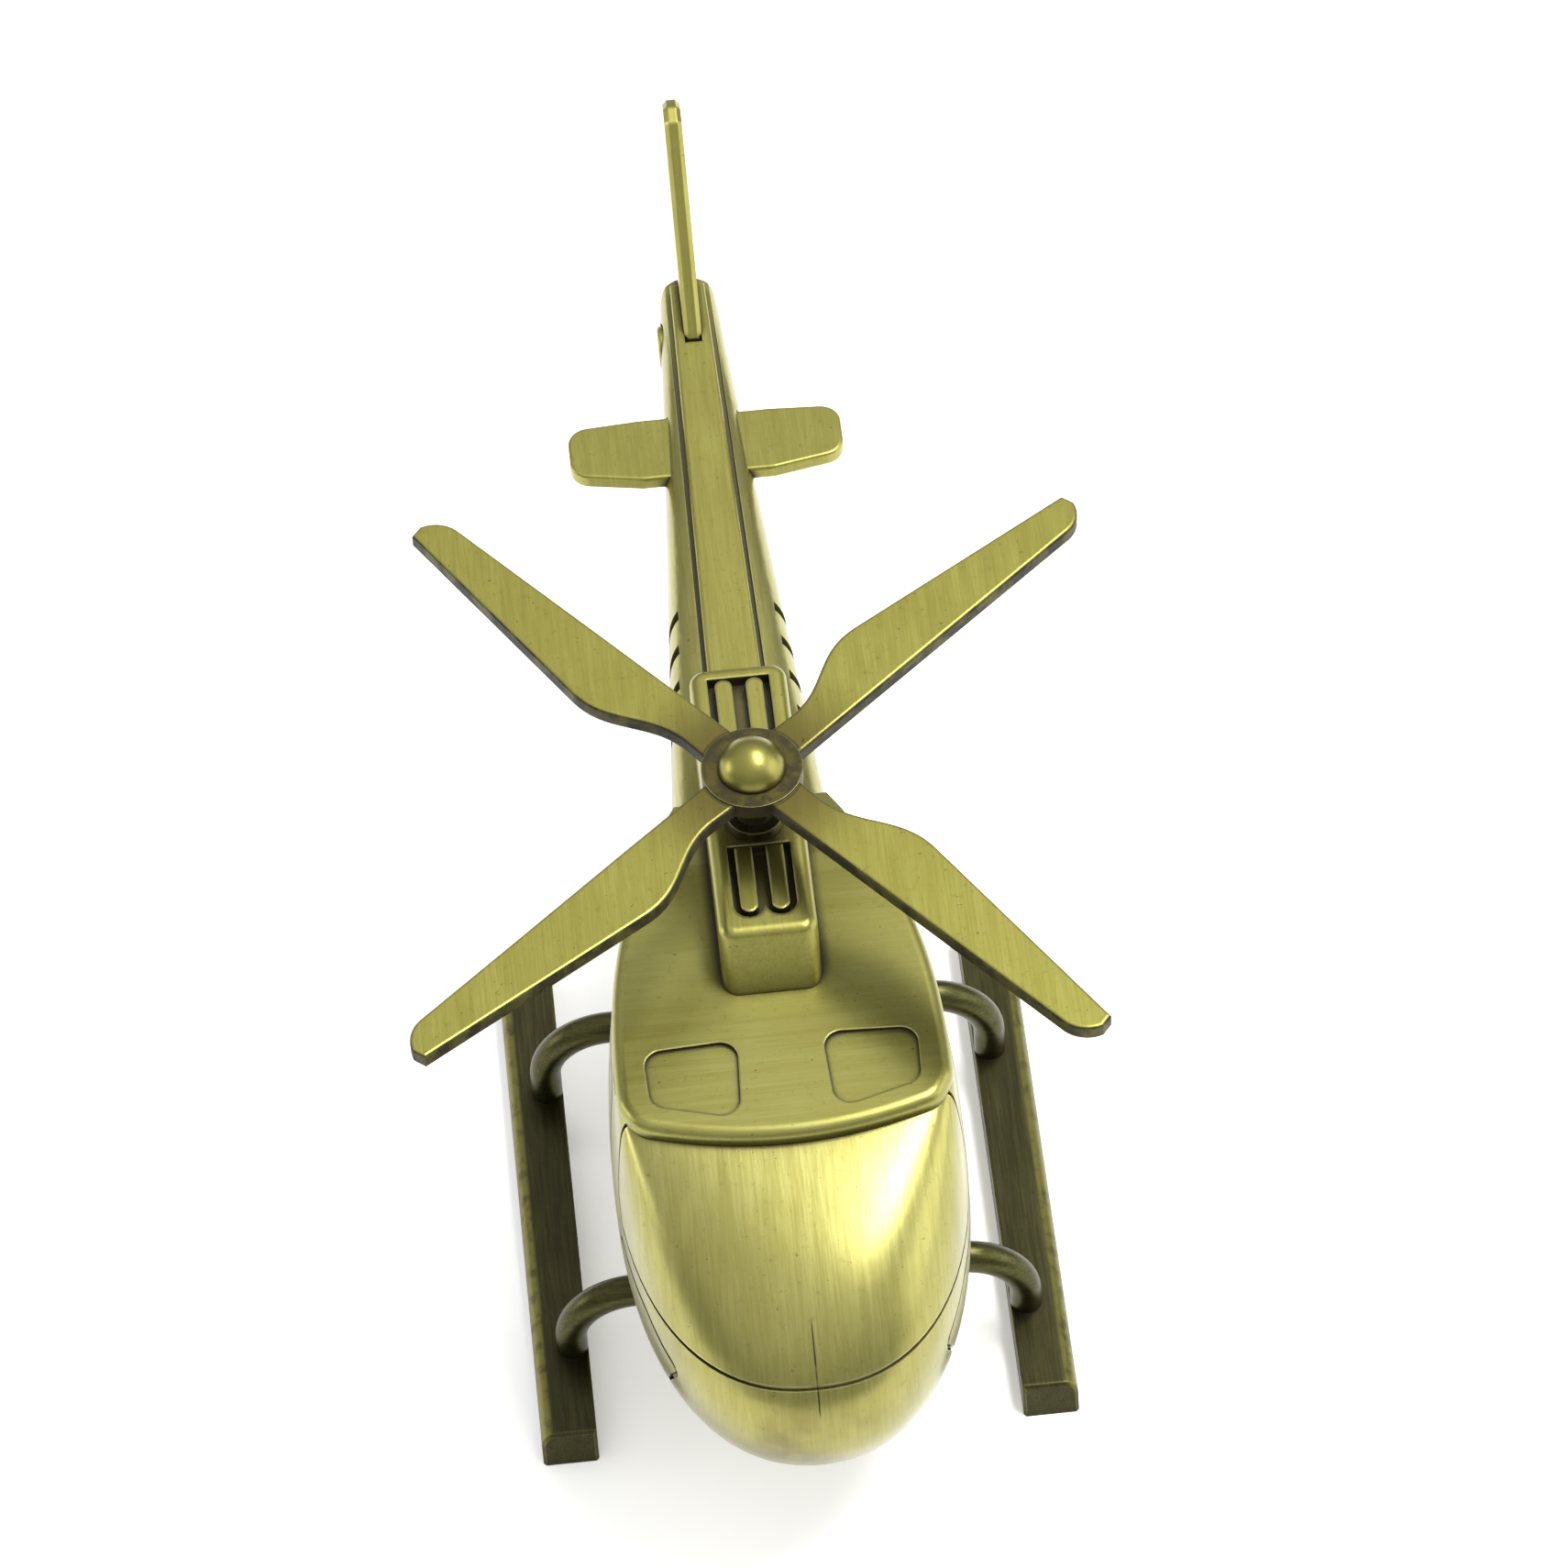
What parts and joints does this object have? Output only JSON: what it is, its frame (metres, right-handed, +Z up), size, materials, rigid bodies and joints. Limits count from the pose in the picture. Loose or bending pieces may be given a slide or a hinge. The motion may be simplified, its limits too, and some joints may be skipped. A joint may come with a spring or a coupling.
{
  "type": "toy helicopter",
  "caption": "Small die-cast toy helicopter in antique brass: rounded cabin, flat roof with engine cowling, spinning main rotor, tail boom with fin and tailplane, twin skids",
  "frame": {"origin": "middle of the footprint box, on the ground plane the skids rest on", "axes": "+Z up, -Y the nose, +Y the tail, +X the helicopter's port side"},
  "size_m": [0.062, 0.128, 0.0542],
  "materials": {
    "antique_brass": "satin brushed, antiqued with dark patina in the grooves and bright worn edges",
    "dark_brass": "heavily blackened antique brass, brass showing on worn edges",
    "blackened_metal": "near-black patina, low sheen",
    "fastener_steel": "plain turned steel",
    "plain_zinc": "plated zinc, dull"
  },
  "bodies": {
    "airframe": {"fuselage_starboard": "antique_brass", "fuselage_port": "antique_brass", "roof_cover": "antique_brass", "engine_cowling": "antique_brass", "boom_spine": "antique_brass", "tail_fin": "antique_brass", "tailplane": "antique_brass", "tail_boss": "antique_brass", "rotor_rivet": "antique_brass", "port_skid": "dark_brass", "starboard_skid": "dark_brass", "front_strut_arch": "dark_brass", "rear_strut_arch": "dark_brass", "mast_tube": "blackened_metal", "mast_collar": "blackened_metal", "thrust_washer": "blackened_metal", "rivet_clip": "fastener_steel", "cowling_screws": "fastener_steel", "belly_screws": "fastener_steel", "body_screws": "fastener_steel", "fin_pin": "fastener_steel", "mast_bracket": "plain_zinc", "belly_plate": "plain_zinc", "front_strut_clamp": "plain_zinc", "rear_strut_clamp": "plain_zinc"},
    "rotor": {"main_rotor": "antique_brass"}
  },
  "joints": [
    {"name": "rotor_spin", "type": "hinge", "parent": "airframe", "child": "rotor", "pos_m": [0, -0.01376, 0.0502], "axis": [0, 0, 1], "continuous": true}
  ]
}
